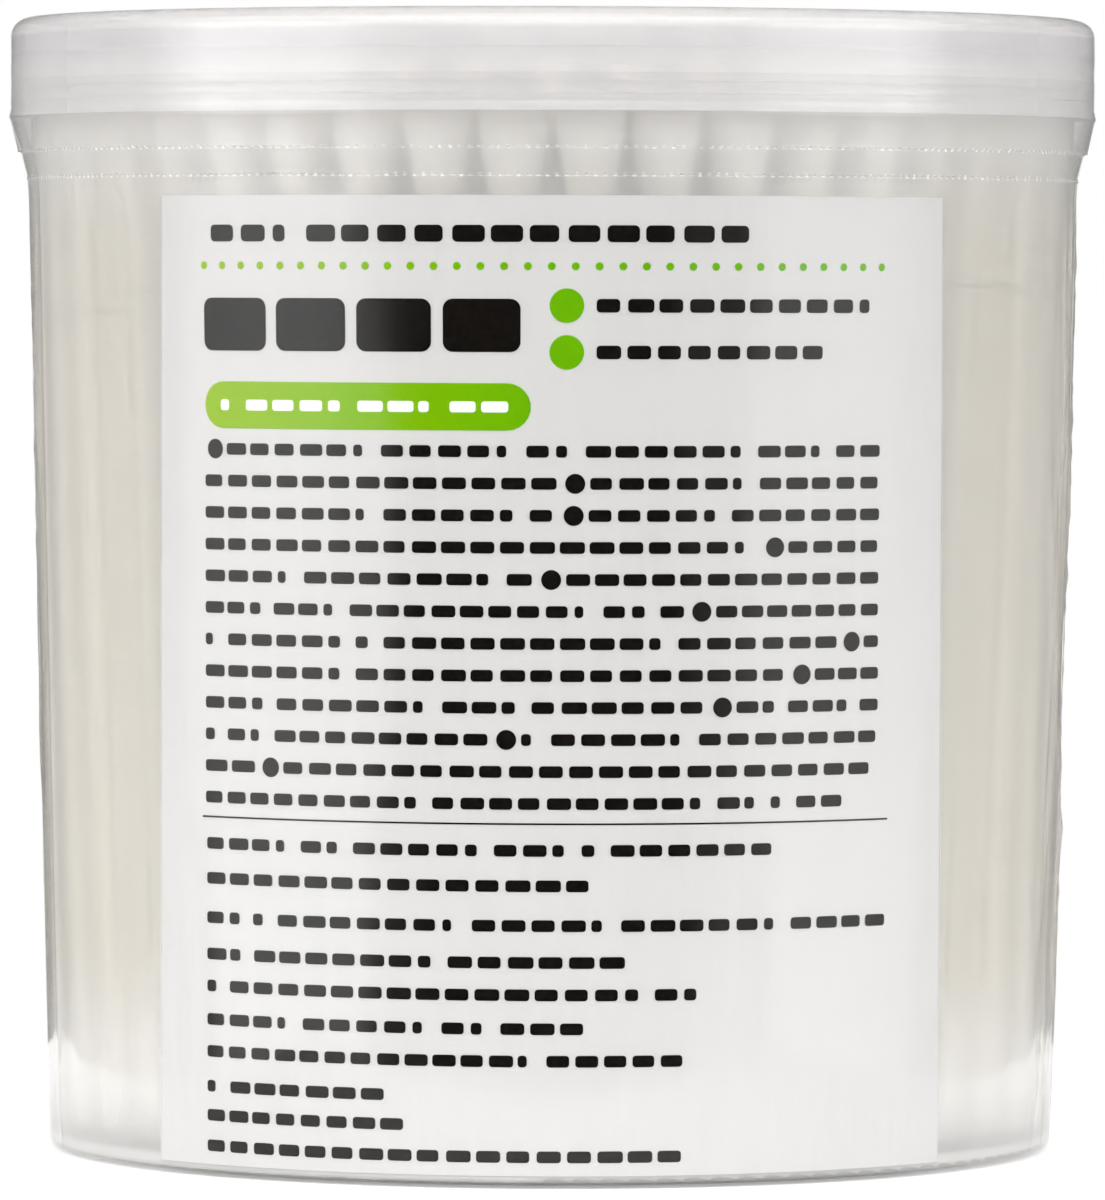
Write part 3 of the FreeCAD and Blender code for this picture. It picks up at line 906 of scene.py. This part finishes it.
def make_floor():
    """A pale floor under the object. It is white where the camera sees it, and keeps the shadow."""
    mesh = bpy.data.meshes.new("floor")
    corners = [(x * FLOOR_HALF, y * FLOOR_HALF, 0) for x, y in ((-1, -1), (1, -1), (1, 1), (-1, 1))]
    mesh.from_pydata(corners, [], [(0, 1, 2, 3)])
    floor = bpy.data.objects.new("floor", mesh)
    bpy.context.scene.collection.objects.link(floor)
    material, tree, shader = new_material("pale_floor")
    material.cycles.emission_sampling = "NONE"
    grain = noise(tree, object_coords(tree), 0.05, 3.0)
    tree.links.new(ramp(tree, grain, (0.62, 0.62, 0.62), (0.64, 0.64, 0.64)), shader.inputs["Base Color"])
    shader.inputs["Roughness"].default_value = 0.9
    shader.inputs["Specular IOR Level"].default_value = 0.1
    # The glow is for the camera, gloss and glass only, so it puts no light on the object.
    path = add_node(tree, "ShaderNodeLightPath")
    seen = add_node(tree, "ShaderNodeMath", operation="ADD", use_clamp=True)
    tree.links.new(gloss_or_glass(tree, path), seen.inputs[0])
    tree.links.new(path.outputs["Is Camera Ray"], seen.inputs[1])
    lit = add_node(tree, "ShaderNodeMath", operation="MULTIPLY")
    lit.inputs[1].default_value = FLOOR_LIGHT
    tree.links.new(seen.outputs["Value"], lit.inputs[0])
    tree.links.new(lit.outputs["Value"], shader.inputs["Emission Strength"])
    shader.inputs["Emission Color"].default_value = (1, 1, 1, 1)
    mesh.materials.append(material)


def make_camera():
    data = bpy.data.cameras.new("camera")
    data.sensor_width = SENSOR_WIDTH
    data.lens = LENS
    data.clip_start = 0.01
    data.clip_end = 20.0
    camera = bpy.data.objects.new("camera", data)
    bpy.context.scene.collection.objects.link(camera)
    camera.location = CAMERA_PLACE
    aim = Vector(CAMERA_AIM) - camera.location
    roll = Quaternion((0, 0, 1), math.radians(CAMERA_ROLL))
    camera.rotation_mode = "QUATERNION"
    camera.rotation_quaternion = aim.to_track_quat("-Z", "Y") @ roll
    bpy.context.scene.camera = camera


set_material(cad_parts["tub"], TUB_PLASTIC)
set_material(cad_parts["lid"], LID_PLASTIC)
set_material(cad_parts["label"], LABEL_PAPER)
for name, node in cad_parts.items():
    if name.startswith("sticks"):
        set_material(node, STICK_PAPER)

make_camera()
make_world()
make_floor()
make_cotton()
make_film()
make_print()

scene = bpy.context.scene
scene.view_settings.view_transform = "Standard"
scene.cycles.adaptive_threshold = 0.02
scene.cycles.max_bounces = 14
scene.cycles.transmission_bounces = 10
scene.cycles.diffuse_bounces = 5
scene.cycles.transparent_max_bounces = 32

bpy.context.view_layer.update()
